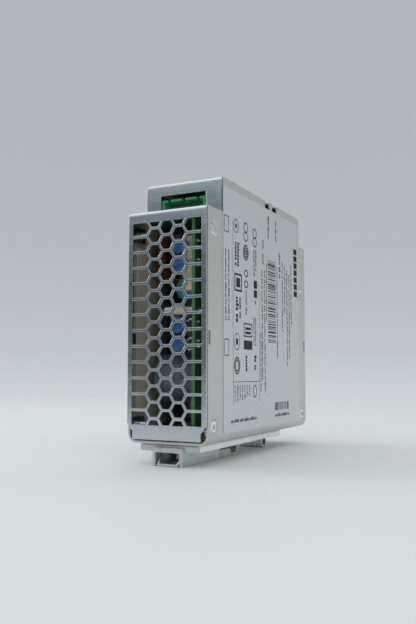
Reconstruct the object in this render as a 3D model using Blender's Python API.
"""A slim DIN rail power supply, built as the assembly it is.

Millimetres in the constants, metres in the meshes. The unit stands on its rail foot: +Z points out of its front,
-Y is the mains end with the foot's release, +X is the side with the rating label. Heights above the housing's
back wall are turned into world heights by level(). The origin is the bottom centre of the whole object.
"""

from math import cos, pi, radians, sin, sqrt

import bmesh
import bpy
from mathutils import Matrix, Vector

MM = 0.001
FIT = 0.3                    # gap between neighbouring pieces

# Driving dimensions of the housing
WIDTH = 40.0
LENGTH = 126.0
DEPTH = 119.2
FOOT_HEIGHT = 9.6            # the housing's back wall above the surface that the foot stands on
SHEET = 1.0
CHASSIS_BEND = 4.0           # outer radius of the chassis's long bends
SHELF = 103.0                # height of the steps that hold the connectors
MAINS_STEP = 15.0            # how far the step at the mains end goes in
OUTPUT_STEP = 9.5
COVER_BEND = 1.7
PLATE_BOTTOM = 1.7           # height of the end plates' lower edges
CORNER_CUT = (17.0, 5.2, 8.4)    # an end plate's lower corners: half width below the cut, and its two heights

# Honeycomb
CELL_PITCH = 7.0
CELL_WEB = 1.2
GRILLE_HALF_WIDTH = 17.5
GRILLE_LOW = 7.9
GRILLE_HIGH = 97.9
CELL_ROWS = 13

# Openings beside the connectors, and the notches for the light and the trimmer in the +X wall's front edge
WINDOW_HALF_WIDTH = 11.85
WINDOW_TOP = 113.4
NOTCH_BOTTOM = 114.6
NOTCHES = ((2.5, 9.1), (12.3, 19.0))

# Screws through the side walls, as (y, height)
MAINS_SCREWS = ((-55.7, 93.6), (-55.7, 7.7))
OUTPUT_SCREWS = ((56.4, 97.6), (56.4, 79.2), (56.4, 7.4))
COUNTERSINK_RADIUS = 3.5
COUNTERSINK_BOTTOM = 2.4
SLOT_Y = 60.3
SLOT_LOW = 43.0
SLOT_HIGH = 48.8

# Rail foot
ADAPTER_HALF_WIDTH = 14.7
ADAPTER_START = -58.5
ADAPTER_END = 34.6
ADAPTER_TAIL = 50.0
ADAPTER_SHEET = 0.8
RAIL_SEAT = -3.5             # level of the faces that the rail's flanges rest on
RAIL_WIDTH = 35.4            # a 35 mm rail with its play
HOOK_WALL = 31.4             # where the fixed hook stops the rail
HOOK_GAP = 1.6               # room for the rail's flange
HOOK_REACH = 4.2
SLIDER_HALF_WIDTH = 7.45
SLIDER_WALL = 1.5
SLIDER_START = -61.5
SLIDER_END = -25.0
SLIDER_PLATE_TOP = -1.5
SLIDER_PLATE = 0.8
SPRING_TAB = -46.4
LATCH_END = -12.7

# Electronics
BOARD = 1.6
BOARD_FACE = 10.0            # component side of the main board
PARTS_BASE = BOARD_FACE - FIT
HEADER_HALF_WIDTH = 11.3
HEADER_LOW = SHELF + FIT
HEADER_HIGH = 111.3
HEADER_DEPTH = 12.0
HEADER_WALL = 1.1
PIN = 0.8
MAINS_PITCH = 7.62
OUTPUT_PITCH = 5.08
TRIMMER_FACE = 17.0
TRIMMER_Y = 15.65
CONTROL_HEIGHT = 116.1       # centre of the light and of the trimmer's screw
CONTROL_TOP = 117.9
LIGHT_Y = 5.8

COLOURS = {                  # base colour, roughness, metallic
    "chassis_steel": ((0.36, 0.36, 0.35), 0.45, 0.9),
    "cover_steel": ((0.46, 0.51, 0.54), 0.35, 0.95),
    "screw_steel": ((0.42, 0.42, 0.42), 0.35, 1.0),
    "label_film": ((0.40, 0.42, 0.44), 0.5, 0.0),
    "adapter_steel": ((0.50, 0.52, 0.51), 0.4, 0.95),
    "slider_steel": ((0.36, 0.42, 0.43), 0.4, 0.95),
    "latch_zinc": ((0.42, 0.40, 0.36), 0.55, 0.7),
    "spring_steel": ((0.55, 0.56, 0.58), 0.25, 1.0),
    "board_laminate": ((0.05, 0.22, 0.10), 0.5, 0.0),
    "foil": ((0.16, 0.16, 0.13), 0.6, 0.0),
    "header_green": ((0.06, 0.30, 0.14), 0.45, 0.0),
    "tinned_pin": ((0.75, 0.74, 0.70), 0.3, 1.0),
    "ceramic": ((0.75, 0.72, 0.66), 0.6, 0.0),
    "disc_blue": ((0.03, 0.14, 0.45), 0.4, 0.0),
    "disc_teal": ((0.03, 0.30, 0.32), 0.4, 0.0),
    "film_box": ((0.66, 0.60, 0.44), 0.5, 0.0),
    "ferrite": ((0.05, 0.05, 0.05), 0.6, 0.0),
    "copper": ((0.55, 0.16, 0.06), 0.35, 0.8),
    "sleeve": ((0.12, 0.15, 0.18), 0.4, 0.0),
    "winding_tape": ((0.70, 0.52, 0.10), 0.5, 0.0),
    "aluminium": ((0.60, 0.61, 0.62), 0.45, 1.0),
    "moulding": ((0.03, 0.03, 0.035), 0.5, 0.0),
    "trimmer_blue": ((0.04, 0.16, 0.42), 0.45, 0.0),
    "light_green": ((0.10, 0.50, 0.16), 0.3, 0.0),
}


def level(height):
    """World height of something given by its height above the housing's back wall."""
    return height + FOOT_HEIGHT


def material(name):
    """The Principled material of that name, made the first time it is asked for."""
    found = bpy.data.materials.get(name)
    if found:
        return found
    colour, roughness, metallic = COLOURS[name]
    made = bpy.data.materials.new(name)
    made.use_nodes = True
    shader = made.node_tree.nodes["Principled BSDF"]
    shader.inputs["Base Color"].default_value = (*colour, 1.0)
    shader.inputs["Roughness"].default_value = roughness
    shader.inputs["Metallic"].default_value = metallic
    return made


def add_object(name, mesh_builder, finish=None, smooth=False):
    """Links an object with the finished bmesh, its faces pointing out, and gives it its own material."""
    bmesh.ops.recalc_face_normals(mesh_builder, faces=mesh_builder.faces)
    mesh = bpy.data.meshes.new(name)
    mesh_builder.to_mesh(mesh)
    mesh_builder.free()
    if smooth:
        mesh.shade_smooth()
        mesh.set_sharp_from_angle(angle=radians(35))
    made = bpy.data.objects.new(name, mesh)
    bpy.context.scene.collection.objects.link(made)
    if finish:
        mesh.materials.append(material(finish))
    return made


def place(axis, across, up, along):
    """A world point from a point of an outline and its distance along the axis that the outline is extruded on."""
    point = {"X": (along, across, up), "Y": (across, along, up), "Z": (across, up, along)}[axis]
    return Vector(point) * MM


def fill_prism(builder, outline, axis, start, end):
    """Adds a closed prism: the outline (in world millimetres) swept along an axis from start to end."""
    near = [builder.verts.new(place(axis, a, b, start)) for a, b in outline]
    far = [builder.verts.new(place(axis, a, b, end)) for a, b in outline]
    builder.faces.new(near)
    builder.faces.new(reversed(far))
    for i, corner in enumerate(near):
        following = (i + 1) % len(near)
        builder.faces.new((corner, far[i], far[following], near[following]))


def prism(name, outline, axis, start, end, finish=None, smooth=False):
    builder = bmesh.new()
    fill_prism(builder, outline, axis, start, end)
    return add_object(name, builder, finish, smooth)


def rectangle(low, high):
    return [(low[0], low[1]), (high[0], low[1]), (high[0], high[1]), (low[0], high[1])]


def fill_box(builder, low, high):
    fill_prism(builder, rectangle(low, high), "Z", low[2], high[2])


def boxes(name, corners, finish=None):
    """One object of one or more boxes, each given by its lowest and highest corner."""
    builder = bmesh.new()
    for low, high in corners:
        fill_box(builder, low, high)
    return add_object(name, builder, finish)


def circle(centre, radius, steps=24, start=0.0, sweep=360.0):
    """Points on an arc; a full circle doesn't repeat its first point."""
    count = steps if sweep == 360.0 else steps + 1
    angles = [radians(start + sweep * i / steps) for i in range(count)]
    return [(centre[0] + radius * cos(a), centre[1] + radius * sin(a)) for a in angles]


def strip(path, thickness, radius, steps=4):
    """The outline of a bent sheet: a path down its middle with every corner rounded, thickened to both sides."""
    points = [Vector(p) for p in path]
    samples = []
    for i, point in enumerate(points):
        if i in (0, len(points) - 1):
            direction = (points[1] - points[0] if i == 0 else points[-1] - points[-2]).normalized()
            samples.append((point, Vector((-direction.y, direction.x))))
            continue
        before = (point - points[i - 1]).normalized()
        after = (points[i + 1] - point).normalized()
        turn = before.angle_signed(after)
        reach = radius * abs(sin(turn / 2) / cos(turn / 2))
        side = 1.0 if turn < 0 else -1.0
        normal = Vector((-before.y, before.x))
        hub = point - before * reach + normal * radius * side
        for step in range(steps + 1):
            spin = Matrix.Rotation(-turn * step / steps, 2)
            turned = spin @ normal
            samples.append((hub - turned * radius * side, turned))
    left = [p + n * thickness / 2 for p, n in samples]
    right = [p - n * thickness / 2 for p, n in reversed(samples)]
    return [tuple(p) for p in left + right]


def turned(name, profile, centre, axis, finish=None, steps=16):
    """A body of revolution: (radius, distance) pairs from one end to the other, about an axis through centre."""
    builder = bmesh.new()
    rings = []
    for radius, along in profile:
        if radius == 0:
            rings.append([builder.verts.new((0, 0, along * MM))])
        else:
            ring = [(x * MM, y * MM, along * MM) for x, y in circle((0, 0), radius, steps)]
            rings.append([builder.verts.new(p) for p in ring])
    for low, high in zip(rings, rings[1:]):
        for i in range(steps):
            following = (i + 1) % steps
            corners = [low[i % len(low)], low[following % len(low)],
                       high[following % len(high)], high[i % len(high)]]
            builder.faces.new(dict.fromkeys(corners))
    for ring in (rings[0], rings[-1]):
        if len(ring) > 1:
            builder.faces.new(ring)
    made = add_object(name, builder, finish, smooth=True)
    made.rotation_mode = "QUATERNION"
    made.rotation_quaternion = Vector(axis).to_track_quat("Z", "Y")
    made.location = Vector(centre) * MM
    return made


def ring_sweep(name, spine, tube_rings, finish):
    """Joins rings of points that follow each other along a spine; the first and last are capped or closed up."""
    builder = bmesh.new()
    rings = [[builder.verts.new(p) for p in ring] for ring in tube_rings]
    pairs = list(zip(rings, rings[1:]))
    if spine == "closed":
        pairs.append((rings[-1], rings[0]))
    for low, high in pairs:
        for i, corner in enumerate(low):
            following = (i + 1) % len(low)
            builder.faces.new((corner, low[following], high[following], high[i]))
    if spine == "open":
        builder.faces.new(rings[0])
        builder.faces.new(rings[-1])
    return add_object(name, builder, finish, smooth=True)


def carve(target, cutter, operation="DIFFERENCE"):
    """Cuts one object out of another, or joins it on, with a Boolean that stays on the target."""
    cutter.hide_render = True
    cutter.display_type = "WIRE"
    modifier = target.modifiers.new(cutter.name, "BOOLEAN")
    modifier.operation = operation
    modifier.solver = "EXACT"
    modifier.object = cutter
    return target


def carve_boxes(target, corners, operation="DIFFERENCE"):
    return carve(target, boxes(f"{target.name}_{operation.lower()}_{len(target.modifiers)}", corners), operation)


def carve_holes(target, centres, radius, axis, start, end):
    """Round holes along an axis, at the given places in the plane across it."""
    builder = bmesh.new()
    for centre in centres:
        fill_prism(builder, circle(centre, radius, 16), axis, start, end)
    return carve(target, add_object(f"{target.name}_holes_{len(target.modifiers)}", builder))


def honeycomb_outlines():
    """The openings of one grille, as outlines across x and world height, column by column."""
    half = (CELL_PITCH - CELL_WEB) / 2
    corner = half * 2 / sqrt(3)
    column_pitch = CELL_PITCH * sqrt(3) / 2
    top_row = GRILLE_HIGH - half
    outlines = []
    for column in range(-2, 3):
        x = column * column_pitch
        odd = column % 2
        for row in range(CELL_ROWS - odd):
            z = level(top_row - row * CELL_PITCH - odd * CELL_PITCH / 2)
            left = [(x - corner / 2, z + half), (x - corner, z), (x - corner / 2, z - half)]
            right = [(x + corner / 2, z - half), (x + corner, z), (x + corner / 2, z + half)]
            if column == -2:
                left = [(-GRILLE_HALF_WIDTH, z + half), (-GRILLE_HALF_WIDTH, z - half)]
            if column == 2:
                right = [(GRILLE_HALF_WIDTH, z - half), (GRILLE_HALF_WIDTH, z + half)]
            outlines.append(left + right)
        if odd:
            for edge, sign in ((GRILLE_HIGH, 1), (GRILLE_LOW, -1)):
                middle = level(edge + sign * (CELL_WEB / 2 - CELL_PITCH / 2 + half))
                low = middle - sign * (half - CELL_WEB / 2)
                wide = corner / 2 + (abs(level(edge) - low)) / sqrt(3)
                outlines.append([(x - wide, level(edge)), (x - corner / 2, low),
                                 (x + corner / 2, low), (x + wide, level(edge))])
    return outlines


def make_chassis():
    """The U of sheet that is the back wall and both side walls."""
    half = WIDTH / 2 - SHEET / 2
    path = [(half, level(DEPTH)), (half, level(SHEET / 2)), (-half, level(SHEET / 2)), (-half, level(DEPTH))]
    outline = strip(path, SHEET, CHASSIS_BEND - SHEET / 2, steps=6)
    end = LENGTH / 2 - SHEET - FIT
    chassis = prism("chassis", outline, "Y", -end, end, "chassis_steel")
    top = level(DEPTH) + 1
    outside = WIDTH / 2 + 1
    carve_boxes(chassis, [
        ((-outside, -end - 1, level(SHELF)), (outside, -end + MAINS_STEP, top)),
        ((-outside, end - OUTPUT_STEP, level(SHELF)), (outside, end + 1, top)),
    ])
    notches = [((outside - 5, low, level(NOTCH_BOTTOM)), (outside, high, top)) for low, high in NOTCHES]
    slots = [((-outside, side * SLOT_Y - 0.9, level(SLOT_LOW)), (outside, side * SLOT_Y + 0.9, level(SLOT_HIGH)))
             for side in (-1, 1)]
    carve_boxes(chassis, notches + slots)
    builder = bmesh.new()
    cone_out = 0.2
    slope = (COUNTERSINK_RADIUS - COUNTERSINK_BOTTOM) / SHEET
    for y, height in MAINS_SCREWS + OUTPUT_SCREWS:
        for side in (-1, 1):
            wide = circle((y, level(height)), COUNTERSINK_RADIUS + slope * cone_out)
            tight = circle((y, level(height)), COUNTERSINK_BOTTOM - slope * cone_out)
            outer = [builder.verts.new(place("X", a, b, side * (WIDTH / 2 + cone_out))) for a, b in wide]
            inner = [builder.verts.new(place("X", a, b, side * (WIDTH / 2 - SHEET - cone_out)))
                     for a, b in tight]
            builder.faces.new(outer)
            builder.faces.new(inner)
            for i, corner in enumerate(outer):
                following = (i + 1) % len(outer)
                builder.faces.new((corner, outer[following], inner[following], inner[i]))
    carve(chassis, add_object("chassis_countersinks", builder))
    carve_holes(chassis, [(0.0, 10.0), (0.0, 43.0)], 1.8, "Z", level(-1), level(SHEET + 1))
    return chassis


def carve_cover_sides(cover, inside):
    """Takes the cover's shelves and front in between the side walls; its upright walls lie over their edges."""
    end = LENGTH / 2 - SHEET
    shelf = SHELF + FIT
    outline = [(-end, 50), (end, 50), (end, shelf), (end - OUTPUT_STEP, shelf), (end - OUTPUT_STEP, DEPTH + 1),
               (-end + MAINS_STEP, DEPTH + 1), (-end + MAINS_STEP, shelf), (-end, shelf)]
    outline = [(y, level(height)) for y, height in outline]
    builder = bmesh.new()
    for side in (-1, 1):
        fill_prism(builder, outline, "X", side * inside, side * (WIDTH / 2 + 1))
    return carve(cover, add_object("cover_sides", builder))


def add_cover_lugs(cover):
    """Lugs inside the side walls for the screws, and a tab in each of the walls' slots."""
    end = LENGTH / 2 - SHEET / 2
    lugs = []
    for y, height in MAINS_SCREWS + OUTPUT_SCREWS:
        reach = (-end, y + 3.6) if y < 0 else (y - 3.6, end)
        for side in (-1, 1):
            across = sorted((side * 17.5, side * 18.3))
            lugs.append(((across[0], reach[0], level(height) - 3.6), (across[1], reach[1], level(height) + 3.6)))
    carve_boxes(cover, lugs, "UNION")
    tab = [(17.6, SLOT_Y - 0.5), (19.3, SLOT_Y - 0.5), (19.3, SLOT_Y + 0.5), (18.6, SLOT_Y + 0.5),
           (18.6, end), (17.6, end)]
    builder = bmesh.new()
    for across in (-1, 1):
        for along in (-1, 1):
            outline = [(across * x, along * y) for x, y in tab]
            fill_prism(builder, outline, "Z", level(SLOT_LOW + 0.6), level(SLOT_HIGH - 0.6))
    carve(cover, add_object("cover_tabs", builder), "UNION")
    holes = [(y, level(height)) for y, height in MAINS_SCREWS + OUTPUT_SCREWS]
    return carve_holes(cover, holes, 1.7, "X", -WIDTH / 2, WIDTH / 2)


def make_cover():
    """The folded cover: grille, shelf, step wall, front, and the same again down the output end."""
    half = SHEET / 2
    end = LENGTH / 2 - half
    mains_wall = -LENGTH / 2 + MAINS_STEP + half
    output_wall = LENGTH / 2 - OUTPUT_STEP - half
    foot = level(PLATE_BOTTOM)
    shelf = level(SHELF) - half
    front = level(DEPTH) - half
    path = [(-end, foot), (-end, shelf), (mains_wall, shelf), (mains_wall, front),
            (output_wall, front), (output_wall, shelf), (end, shelf), (end, foot)]
    over = WIDTH / 2 - FIT
    inside = WIDTH / 2 - SHEET - FIT
    cover = prism("folded_cover", strip(path, SHEET, COVER_BEND - half), "X", -over, over, "cover_steel")
    carve_cover_sides(cover, inside)
    add_cover_lugs(cover)

    builder = bmesh.new()
    for face in (-end, end):
        for outline in honeycomb_outlines():
            fill_prism(builder, outline, "Y", face - 2, face + 2)
    carve(cover, add_object("cover_honeycomb", builder))

    narrow, low, high = CORNER_CUT
    slope = (high - low) / (over - narrow)
    corner = [(over + 1, high + slope), (narrow, low), (narrow, PLATE_BOTTOM - 1), (over + 1, PLATE_BOTTOM - 1)]
    builder = bmesh.new()
    for face in (-end, end):
        for side in (-1, 1):
            outline = [(side * x, level(height)) for x, height in corner]
            fill_prism(builder, outline, "Y", face - 2, face + 2)
    carve(cover, add_object("cover_corners", builder))

    return carve_boxes(cover, [
        ((-WINDOW_HALF_WIDTH, wall - 2, level(SHELF)), (WINDOW_HALF_WIDTH, wall + 2, level(WINDOW_TOP)))
        for wall in (mains_wall, output_wall)
    ])


def make_labels():
    """The rating label on the +X side and the film on the front."""
    corners = ((-45.2, 6.0), (49.2, 6.0), (49.2, 113.2), (-45.2, 113.2))
    outline = []
    for i, (y, height) in enumerate(corners):
        outline += circle((y, level(height)), 2.0, 5, 180 + 90 * i, 90.0)
    prism("side_label", outline, "X", WIDTH / 2 + 0.05, WIDTH / 2 + 0.25, "label_film")
    prism("front_label", rectangle((-17.5, -44.5), (17.5, 49.5)), "Z",
          level(DEPTH) + 0.05, level(DEPTH) + 0.25, "label_film")


def make_side_screws():
    """Countersunk screws: their heads sit just below the side walls' faces and their shanks go into the lugs."""
    profile = [(0, -6.0), (1.4, -6.0), (1.4, -1.7), (2.75, -0.35), (0, -0.35)]
    names = [("mains_screw", MAINS_SCREWS), ("output_screw", OUTPUT_SCREWS)]
    for stem, places in names:
        number = 0
        for side in (1, -1):
            for y, height in places:
                number += 1
                centre = (side * WIDTH / 2, y, level(height))
                turned(f"{stem}_{number}", profile, centre, (side, 0, 0), "screw_steel", steps=14)


def make_rail_adapter():
    """A shallow channel under the back wall, with the tab that the spring pushes against."""
    half = ADAPTER_SHEET / 2
    low = level(RAIL_SEAT + half)
    high = level(-FIT - half)
    side = ADAPTER_HALF_WIDTH - half
    path = [(9.7, low), (side, low), (side, high), (-side, high), (-side, low), (-9.7, low)]
    adapter = prism("rail_adapter", strip(path, ADAPTER_SHEET, 0.5, steps=3), "Y",
                    ADAPTER_START, ADAPTER_END, "adapter_steel")
    web_low = level(-FIT - ADAPTER_SHEET)
    web_high = level(-FIT)
    carve_boxes(adapter, [
        ((-9.0, ADAPTER_END - 2, web_low), (9.0, ADAPTER_TAIL, web_high)),
        ((-4.0, SPRING_TAB, level(-8.2)), (4.0, SPRING_TAB + ADAPTER_SHEET, web_high)),
    ], "UNION")
    carve_holes(adapter, [(0.0, 10.0), (0.0, 43.0)], 1.8, "Z", level(-2), level(0))

    pan = [(0, -2.6), (2.6, -2.6), (3.4, -1.9), (3.4, -FIT - ADAPTER_SHEET - 0.1)]
    shank = [(1.45, -FIT - ADAPTER_SHEET - 0.1), (1.45, 3.0), (0, 3.0)]
    for number, y in ((1, 10.0), (2, 43.0)):
        turned(f"adapter_screw_{number}", pan + shank, (0, y, level(0)), (0, 0, 1), "screw_steel", steps=14)
    return adapter


def make_rail_hook():
    """The fixed hook: a strip under the channel's web, folded down and curled back under the rail's flange."""
    sheet = 1.2
    half = sheet / 2
    lip = RAIL_SEAT - HOOK_GAP
    base = -FIT - ADAPTER_SHEET - 0.4 - half
    wall = HOOK_WALL + half
    path = [(38.4, level(base)), (wall, level(base)), (wall, level(-FOOT_HEIGHT + half)),
            (HOOK_WALL - HOOK_REACH - half, level(-FOOT_HEIGHT + half)),
            (HOOK_WALL - HOOK_REACH - half, level(lip))]
    return prism("rail_hook", strip(path, sheet, 1.4, steps=4), "X",
                 -SLIDER_HALF_WIDTH, SLIDER_HALF_WIDTH, "adapter_steel")


def make_foot_slider():
    """The sliding foot: a plate that runs inside the channel, with the two walls of its box below."""
    plate_low = SLIDER_PLATE_TOP - SLIDER_PLATE
    inner = SLIDER_HALF_WIDTH - SLIDER_WALL
    path = [(SLIDER_HALF_WIDTH, level(-FOOT_HEIGHT)), (SLIDER_HALF_WIDTH, level(SLIDER_PLATE_TOP)),
            (-SLIDER_HALF_WIDTH, level(SLIDER_PLATE_TOP)), (-SLIDER_HALF_WIDTH, level(-FOOT_HEIGHT)),
            (-inner, level(-FOOT_HEIGHT)), (-inner, level(plate_low)),
            (inner, level(plate_low)), (inner, level(-FOOT_HEIGHT))]
    slider = prism("foot_slider", path, "Y", SLIDER_START, SLIDER_END, "slider_steel")
    wings = ((-13.4, -56.0, level(plate_low)), (13.4, SLIDER_END, level(SLIDER_PLATE_TOP)))
    lip = ((-inner, SLIDER_START, level(plate_low - 1.4)), (inner, SLIDER_START + 1.0, level(SLIDER_PLATE_TOP)))
    carve_boxes(slider, [wings, lip], "UNION")
    lip_end = ADAPTER_START - FIT
    carve_boxes(slider, [((-14.6, lip_end - 1.0, level(RAIL_SEAT + 0.2)), (14.6, lip_end, level(-0.6)))], "UNION")
    return carve_boxes(slider, [((-4.5, SPRING_TAB - 0.5, level(-4)), (4.5, SPRING_TAB + 6.4, level(0)))])


def make_release_bracket():
    """The stirrup at the foot's mouth that a screwdriver pulls on."""
    floor = level(-FOOT_HEIGHT + 0.2)
    leg = [(-61.2, floor), (-60.2, floor), (-56.3, level(-4.6)), (-56.3, level(-2.6)),
           (-57.2, level(-2.6)), (-57.2, level(-4.2)), (-61.2, floor + 0.9)]
    bracket = boxes("release_bracket", [((-5.3, -61.2, floor), (5.3, -60.2, floor + 0.9))], "spring_steel")
    builder = bmesh.new()
    for side in (-1, 1):
        fill_prism(builder, leg, "X", side * 4.4, side * 5.3)
    return carve(bracket, add_object("release_bracket_legs", builder), "UNION")


def make_latch_block():
    """The block at the foot's inner end, with the tongue that goes under the rail's flange."""
    floor = -FOOT_HEIGHT
    lip = RAIL_SEAT - HOOK_GAP
    rail_edge = HOOK_WALL - RAIL_WIDTH
    block_top = circle((LATCH_END - 2.0, floor + 1.8), 2.0, 6, -50, 140.0)
    outline = [(SLIDER_END + FIT, floor), (LATCH_END, floor)]
    outline += [(rail_edge - 2.5, floor), (rail_edge - 1.2, floor + 0.6), (rail_edge - 0.6, floor + 1.8),
                (rail_edge - 0.6, lip - 1.2), (rail_edge + 2.6, lip - 0.7), (rail_edge + 3.4, lip),
                (rail_edge - 2.0, lip), (rail_edge - 2.0, floor + 2.2), (rail_edge - 2.8, floor + 1.2)]
    outline += [(LATCH_END, floor + 1.2)]
    outline += [p for p in block_top if p[0] < LATCH_END and p[1] > floor + 1.3]
    outline += [(LATCH_END - 3.5, -5.8), (SLIDER_END + FIT, -5.8)]
    outline = [(y, level(z)) for y, z in outline]
    return prism("latch_block", outline, "X", -SLIDER_HALF_WIDTH, SLIDER_HALF_WIDTH, "latch_zinc")


def make_foot_spring():
    """The compression spring between the channel's tab and the latch block."""
    start = SPRING_TAB + ADAPTER_SHEET + FIT
    end = SLIDER_END
    turns, steps, sides = 8, 10, 6
    coil, wire = 2.1, 0.35
    middle = level(-5.9)
    rise = end - start - 2 * wire
    rings = []
    for i in range(turns * steps + 1):
        angle = 2 * pi * i / steps
        y = start + wire + rise * i / (turns * steps)
        ring = []
        for a, b in circle((0, 0), wire, sides):
            ring.append(Vector(((coil + a) * cos(angle), y + b, middle + (coil + a) * sin(angle))) * MM)
        rings.append(ring)
    return ring_sweep("foot_spring", "open", rings, "spring_steel")


def torus_rings(centre, ring, tube, start, sweep, steps, sides=8):
    """Rings of a torus about an axis along X."""
    rings = []
    for i in range(steps if sweep == 360 else steps + 1):
        angle = radians(start + sweep * i / steps)
        points = []
        for a, b in circle((0, 0), tube, sides):
            reach = ring + a
            points.append((Vector(centre) + Vector((b, reach * cos(angle), reach * sin(angle)))) * MM)
        rings.append(points)
    return rings


def make_header(name, face, inward, pitch, poles):
    """A pluggable connector's shroud in the step wall, open outwards, and its right-angled pins."""
    back = face + inward * HEADER_DEPTH
    floor = face + inward * (HEADER_DEPTH - 3)
    y_low, y_high = sorted((face, back))
    header = boxes(f"{name}_header", [((-HEADER_HALF_WIDTH, y_low, level(HEADER_LOW)),
                                       (HEADER_HALF_WIDTH, y_high, level(HEADER_HIGH)))], "header_green")
    mouth = sorted((face - inward, floor))
    inner = HEADER_HALF_WIDTH - HEADER_WALL
    middle = (HEADER_LOW + HEADER_HIGH) / 2
    places = [(i - (poles - 1) / 2) * pitch for i in range(poles)]
    carve_boxes(header, [((-inner, mouth[0], level(HEADER_LOW + HEADER_WALL)),
                          (inner, mouth[1], level(HEADER_HIGH - HEADER_WALL)))])
    key = sorted((face - inward, face + inward * 4))
    through = sorted((floor - inward, back + inward))
    for low, high, ends in ((HEADER_HIGH - HEADER_WALL - 0.5, HEADER_HIGH + 1, key),
                            (middle - 0.8, middle + 0.8, through)):
        carve_boxes(header, [((x - 0.8, ends[0], level(low)), (x + 0.8, ends[1], level(high))) for x in places])
    for number, x in enumerate(places, 1):
        tip = face + inward * 2.5
        bend = back + inward * 1.6
        leg = bend - inward * PIN
        pin = [(tip, middle + PIN / 2), (bend, middle + PIN / 2), (bend, HEADER_LOW), (leg, HEADER_LOW),
               (leg, middle - PIN / 2), (tip, middle - PIN / 2)]
        prism(f"{name}_pin_{number}", [(y, level(z)) for y, z in pin], "X", x - PIN / 2, x + PIN / 2, "tinned_pin")


def make_boards():
    """The main board beside the +X wall, its pillars, the board under the front and the foil on the other side."""
    boxes("main_board", [((BOARD_FACE, -58.0, level(5)), (BOARD_FACE + BOARD, 57.0, level(100.8)))], "board_laminate")
    boxes("front_board", [((-17.5, -45.7, level(SHELF - BOARD)), (17.5, 50.7, level(SHELF)))], "board_laminate")
    foil = [(-51.5, 5), (51.5, 5), (51.5, 100.5), (-51.5, 100.5), (-51.5, 88), (-58, 88), (-58, 13), (-51.5, 13)]
    prism("insulating_foil", [(y, level(height)) for y, height in foil], "X", -18.7, -18.4, "foil")
    length = WIDTH / 2 - SHEET - BOARD_FACE - BOARD - 2 * FIT
    for number, y in ((1, -48.0), (2, 48.0)):
        turned(f"board_pillar_{number}", [(0, 0), (2.6, 0), (2.6, length), (0, length)],
               (BOARD_FACE + BOARD + FIT, y, level(14)), (1, 0, 0), "aluminium", steps=6)


def make_disc(name, y, height, radius, thickness, x, finish):
    """A disc-shaped component on its two leads, standing on the main board."""
    outline = circle((x, level(height)), radius, 20, 18, 324.0)
    outline += [(PARTS_BASE, outline[-1][1]), (PARTS_BASE, outline[0][1])]
    return prism(name, outline, "Y", y - thickness / 2, y + thickness / 2, finish)


def make_mains_parts():
    """Fuse, suppressors and filter near the mains end."""
    ends = [(0, 0), (2.3, 0), (2.3, 3), (2.1, 3), (2.1, 12), (2.3, 12), (2.3, 15), (0, 15)]
    turned("fuse", ends, (PARTS_BASE, -54.0, level(58.3)), (-1, 0, 0), "ceramic", steps=12)
    for number, height in enumerate((87.7, 79.3, 51.8, 43.4), 1):
        make_disc(f"y_capacitor_{number}", -55.3, height, 4.0, 3.6, 1.8, "disc_blue")
    make_disc("varistor", -44.6, 69.5, 6.0, 4.2, 0.8, "disc_teal")
    boxes("x_capacitor", [((3.0, -53.1, level(67.5)), (PARTS_BASE, -47.1, level(92.4)))], "film_box")
    hub = (-9.6, -42.0, level(84.0))
    ring_sweep("choke_core", "closed", torus_rings(hub, 8.5, 2.6, 0, 360, 20), "ferrite")
    for number, start in ((1, 110), (2, 290)):
        outer = torus_rings(hub, 8.5, 4.0, start, 140, 12)
        inner = torus_rings(hub, 8.5, 2.9, start, 140, 12)
        rings = outer + inner[::-1]
        ring_sweep(f"choke_winding_{number}", "closed", rings, "copper")
    turned("bulk_capacitor", [(0, 0), (10.4, 0), (11, 0.8), (11, 22), (10.4, 22.8), (0, 22.8)],
           (PARTS_BASE, -41.0, level(28.5)), (-1, 0, 0), "sleeve", steps=24)
    boxes("bridge_rectifier", [((4.6, -42.0, level(44)), (PARTS_BASE, -24.0, level(60)))], "moulding")


def make_power_parts():
    """Transformer, power semiconductors on their heat spreader, and the output filter."""
    boxes("heat_spreader", [((-17.9, -12.0, level(8)), (-15.9, 52.0, level(95)))], "aluminium")
    boxes("switch_transistor", [((-15.6, -10.5, level(60)), (-11.2, -0.5, level(76)))], "moulding")
    boxes("rectifier_diode", [((-15.6, 31.0, level(62)), (-11.2, 41.0, level(78)))], "moulding")
    core = boxes("transformer_core", [((-10.0, -3.0, level(48)), (3.0, 27.0, level(92)))], "ferrite")
    carve_boxes(core, [((-11.0, 3.0, level(54)), (4.0, 21.0, level(86)))])
    boxes("transformer_winding", [((-14.0, 3.3, level(54.3)), (PARTS_BASE, 20.7, level(85.7)))], "winding_tape")
    ring_sweep("output_choke", "closed", torus_rings((-1.0, 30.0, level(30)), 8.0, 4.6, 0, 360, 20), "copper")
    can = [(0, 0), (4.9, 0), (5, 0.6), (5, 18.4), (4.6, 19), (0, 19)]
    for number, height in enumerate((44.0, 56.0, 68.0), 1):
        turned(f"output_capacitor_{number}", can, (PARTS_BASE, 50.5, level(height)), (-1, 0, 0), "sleeve")


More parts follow.
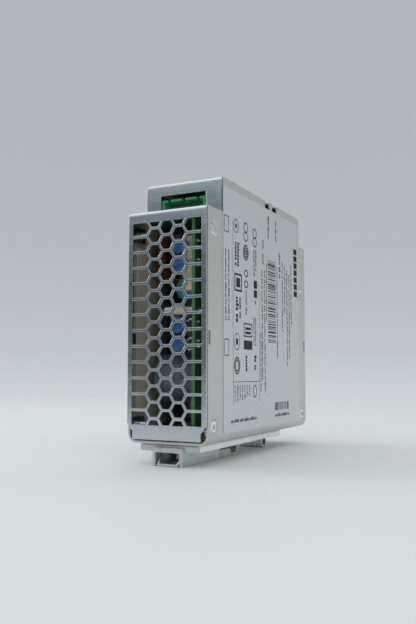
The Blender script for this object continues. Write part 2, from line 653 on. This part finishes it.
def make_front_controls():
    """The output voltage trimmer and the status light's guide, facing the notches in the +X wall's front edge."""
    boxes("trimmer_body", [((TRIMMER_FACE - 5.0, TRIMMER_Y - 3.1, level(HEADER_LOW)),
                            (TRIMMER_FACE, TRIMMER_Y + 3.1, level(CONTROL_TOP)))], "trimmer_blue")
    middle = level(CONTROL_HEIGHT)
    back = TRIMMER_FACE + FIT
    face = back + 1.2
    screw = turned("trimmer_screw", [(0, 0), (1.8, 0), (1.8, face - back), (0, face - back)],
                   (back, TRIMMER_Y, middle), (1, 0, 0), "moulding", steps=20)
    carve_boxes(screw, [((face - 0.7, TRIMMER_Y - 2.3, middle - 0.3), (face + 1, TRIMMER_Y + 2.3, middle + 0.3))])
    guide = [(12.2, HEADER_LOW), (15.2, HEADER_LOW), (15.2, CONTROL_HEIGHT - 1.5), (face, CONTROL_HEIGHT - 1.5),
             (face, CONTROL_HEIGHT + 1.5), (14.6, CONTROL_HEIGHT + 1.5), (12.2, CONTROL_HEIGHT - 0.9)]
    prism("status_light", [(x, level(height)) for x, height in guide], "Y", LIGHT_Y - 1.5, LIGHT_Y + 1.5,
          "light_green")


def build():
    for existing in list(bpy.data.objects):
        bpy.data.objects.remove(existing, do_unlink=True)
    make_chassis()
    make_cover()
    make_labels()
    make_side_screws()
    make_rail_adapter()
    make_rail_hook()
    slider_parts = [make_foot_slider(), make_release_bracket(), make_latch_block()]
    slide_axis = bpy.data.objects.new("foot_slide_axis", None)
    bpy.context.scene.collection.objects.link(slide_axis)
    slide_axis.location = Vector((0, SLIDER_START, level(SLIDER_PLATE_TOP))) * MM
    bpy.context.view_layer.update()
    for part in slider_parts:
        part.parent = slide_axis
        part.matrix_parent_inverse = slide_axis.matrix_world.inverted()
    make_foot_spring()
    make_boards()
    make_header("mains", -LENGTH / 2 + MAINS_STEP + 0.2, 1, MAINS_PITCH, 3)
    make_header("output", LENGTH / 2 - OUTPUT_STEP - 0.2, -1, OUTPUT_PITCH, 4)
    make_mains_parts()
    make_power_parts()
    make_front_controls()


build()
